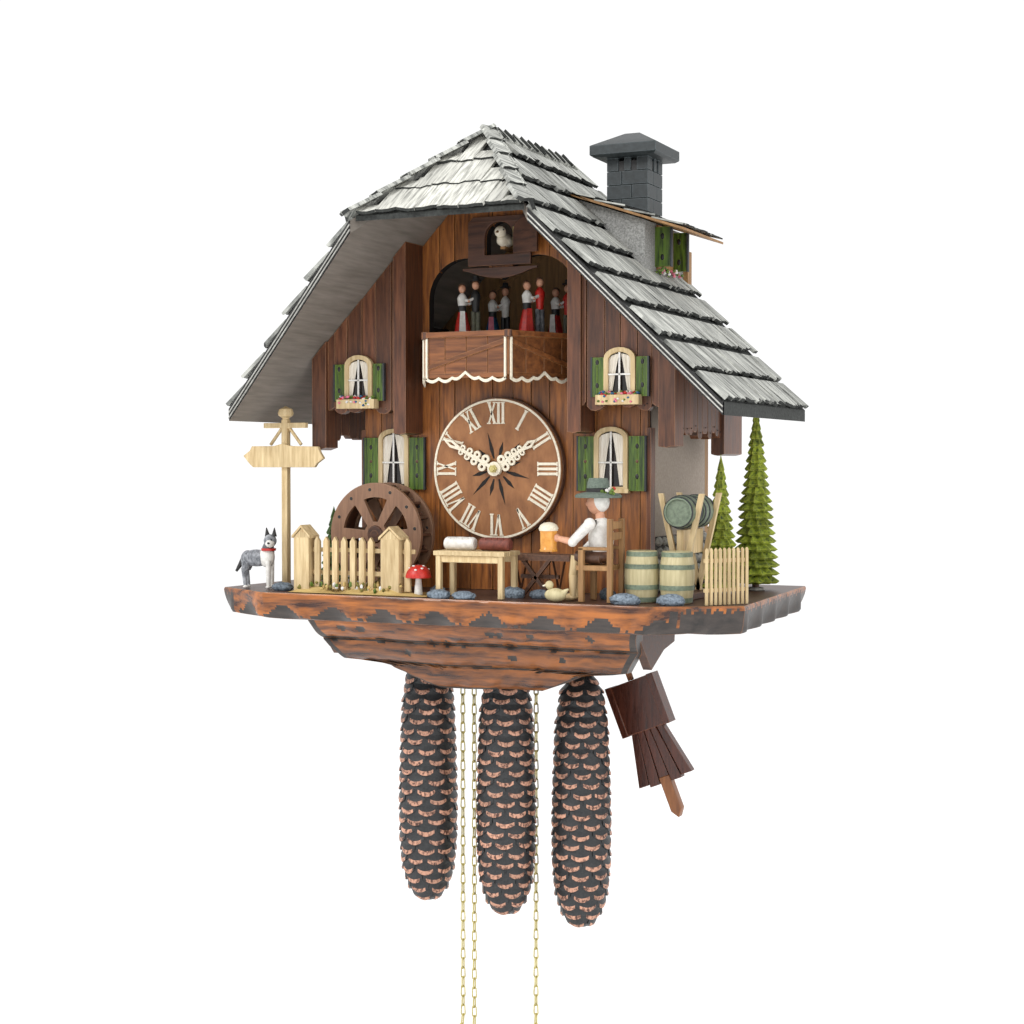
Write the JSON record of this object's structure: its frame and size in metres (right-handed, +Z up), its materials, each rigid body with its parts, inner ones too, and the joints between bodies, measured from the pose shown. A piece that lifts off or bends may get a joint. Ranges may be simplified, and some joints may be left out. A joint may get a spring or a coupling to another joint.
{
  "type": "chalet cuckoo clock",
  "caption": "Carved chalet cuckoo clock with dial, dancers, mill wheel, beer drinker, cuckoo, pendulum and pine-cone weights on chains.",
  "frame": {"origin": "the wall hook: centre of the hanging hole in the back panel, on the wall plane", "axes": "+X to the viewer's right, +Y into the wall, +Z up; the clock faces -Y"},
  "size_m": [0.42, 0.246, 0.7864],
  "materials": {
    "wood_dark": "satin",
    "wood_orange": "satin",
    "wood_red": "satin",
    "wood_light": "satin",
    "wood_tan": "matte",
    "wood_cream": "matte",
    "shingle": "weathered",
    "slate_paint": "matte",
    "ivory": "satin",
    "foliage": "matte",
    "figure_red": "painted",
    "figure_grey": "painted",
    "figure_white": "painted",
    "brass": "polished",
    "steel": "brushed",
    "cone_iron": "painted",
    "mahogany": "satin"
  },
  "bodies": {
    "clock": {"platform": "wood_dark", "apron": "wood_dark", "case": "wood_orange", "back_panel": "wood_tan", "wing_left": "wood_red", "wing_right": "wood_red", "roof_left": "shingle", "roof_right": "shingle", "roof_hip": "shingle", "dormer": "shingle", "chimney": "slate_paint", "balcony": "wood_orange", "dial": "wood_light", "window_upper_left": "ivory", "window_upper_right": "ivory", "window_lower_left": "ivory", "window_lower_right": "ivory", "fence_left": "wood_cream", "fence_right": "wood_cream", "signpost": "wood_cream", "dog": "figure_grey", "table": "wood_cream", "trestle": "wood_red", "chair": "wood_cream", "drinker": "figure_white", "barrel_1": "wood_cream", "barrel_2": "wood_cream", "barrel_rack": "wood_tan", "tree_right_tall": "foliage", "tree_right_small": "foliage", "movement_frame": "brass", "music_movement": "brass", "bellows_left": "wood_tan", "bellows_right": "wood_tan", "gong": "steel"},
    "minute_hand_body": {"minute_hand": "ivory"},
    "hour_hand_body": {"hour_hand": "ivory"},
    "cuckoo_body": {"cuckoo": "ivory"},
    "door_body": {"cuckoo_door": "wood_dark"},
    "turntable_body": {"turntable": "wood_dark", "dancers_1": "figure_red", "dancers_2": "figure_red", "dancers_3": "figure_red", "dancers_4": "figure_red"},
    "water_wheel_body": {"water_wheel": "wood_red"},
    "arm_body": {"drinker_arm": "figure_white"},
    "pendulum_body": {"pendulum_rod": "wood_red", "pendulum_bob": "mahogany"},
    "weight_1_body": {"weight_1": "cone_iron"},
    "weight_2_body": {"weight_2": "cone_iron"},
    "weight_3_body": {"weight_3": "cone_iron"},
    "free_chain_1_body": {"chain_run_1": "brass", "chain_hank_1": "brass"},
    "free_chain_2_body": {"chain_run_2": "brass", "chain_hank_2": "brass"},
    "free_chain_3_body": {"chain_run_3": "brass", "chain_hank_3": "brass"},
    "chain_wheel_1_body": {"chain_wheel_1": "brass"},
    "chain_wheel_2_body": {"chain_wheel_2": "brass"},
    "chain_wheel_3_body": {"chain_wheel_3": "brass"}
  },
  "joints": [
    {"name": "minute_hand_turn", "type": "hinge", "parent": "clock", "child": "minute_hand_body", "pos_m": [0, -0.15, -0.19], "axis": [0, 1, 0], "continuous": true},
    {"name": "hour_hand_turn", "type": "hinge", "parent": "clock", "child": "hour_hand_body", "pos_m": [0, -0.15, -0.19], "axis": [0, 1, 0], "continuous": true},
    {"name": "cuckoo_door_swing", "type": "hinge", "parent": "clock", "child": "door_body", "pos_m": [0.0132, -0.1451, -0.029], "axis": [0, 0, 1], "range_deg": [-168, 0]},
    {"name": "cuckoo_slide", "type": "slide", "parent": "clock", "child": "cuckoo_body", "axis": [0, 1, 0], "range_m": [0, 0.0178]},
    {"name": "dancers_turn", "type": "hinge", "parent": "clock", "child": "turntable_body", "pos_m": [0, -0.112, -0.097], "axis": [0, 0, 1], "continuous": true},
    {"name": "water_wheel_turn", "type": "hinge", "parent": "clock", "child": "water_wheel_body", "pos_m": [-0.086, -0.1685, -0.2395], "axis": [0, 1, 0], "continuous": true},
    {"name": "drinker_arm_lift", "type": "hinge", "parent": "clock", "child": "arm_body", "pos_m": [0.104, -0.219, -0.228], "axis": [0, 1, 0], "range_deg": [0, 50]},
    {"name": "pendulum_swing", "type": "hinge", "parent": "clock", "child": "pendulum_body", "pos_m": [-0.014, -0.03, -0.165], "axis": [0, 1, 0], "range_deg": [-2, 44]},
    {"name": "weight_1_drop", "type": "slide", "parent": "clock", "child": "weight_1_body", "axis": [0, 0, -1], "range_m": [0, 0.04]},
    {"name": "weight_2_drop", "type": "slide", "parent": "clock", "child": "weight_2_body", "axis": [0, 0, -1], "range_m": [0, 0.04]},
    {"name": "weight_3_drop", "type": "slide", "parent": "clock", "child": "weight_3_body", "axis": [0, 0, -1], "range_m": [0, 0.04]},
    {"name": "free_chain_1_rise", "type": "slide", "parent": "clock", "child": "free_chain_1_body", "axis": [0, 0, 1], "range_m": [0, 0.04]},
    {"name": "free_chain_2_rise", "type": "slide", "parent": "clock", "child": "free_chain_2_body", "axis": [0, 0, 1], "range_m": [0, 0.04]},
    {"name": "free_chain_3_rise", "type": "slide", "parent": "clock", "child": "free_chain_3_body", "axis": [0, 0, 1], "range_m": [0, 0.04]},
    {"name": "chain_wheel_1_turn", "type": "hinge", "parent": "clock", "child": "chain_wheel_1_body", "pos_m": [-0.0675, -0.1, -0.21], "axis": [0, -1, 0], "range_deg": [0, 148.5]},
    {"name": "chain_wheel_2_turn", "type": "hinge", "parent": "clock", "child": "chain_wheel_2_body", "pos_m": [-0.028, -0.1, -0.21], "axis": [0, 1, 0], "range_deg": [0, 164.5]},
    {"name": "chain_wheel_3_turn", "type": "hinge", "parent": "clock", "child": "chain_wheel_3_body", "pos_m": [0.02, -0.075, -0.21], "axis": [0, 1, 0], "range_deg": [0, 118.5]}
  ],
  "couplings": [
    {"joint": "hour_hand_turn", "follows": "minute_hand_turn", "ratio": 0.083333},
    {"joint": "cuckoo_door_swing", "follows": "cuckoo_slide", "rad_per_m": -164},
    {"joint": "water_wheel_turn", "follows": "dancers_turn", "ratio": 1},
    {"joint": "free_chain_1_rise", "follows": "weight_1_drop", "ratio": 1},
    {"joint": "free_chain_2_rise", "follows": "weight_2_drop", "ratio": 1},
    {"joint": "free_chain_3_rise", "follows": "weight_3_drop", "ratio": 1},
    {"joint": "chain_wheel_1_turn", "follows": "weight_1_drop", "rad_per_m": 64.516},
    {"joint": "chain_wheel_2_turn", "follows": "weight_2_drop", "rad_per_m": 71.429},
    {"joint": "chain_wheel_3_turn", "follows": "weight_3_drop", "rad_per_m": 51.282}
  ]
}
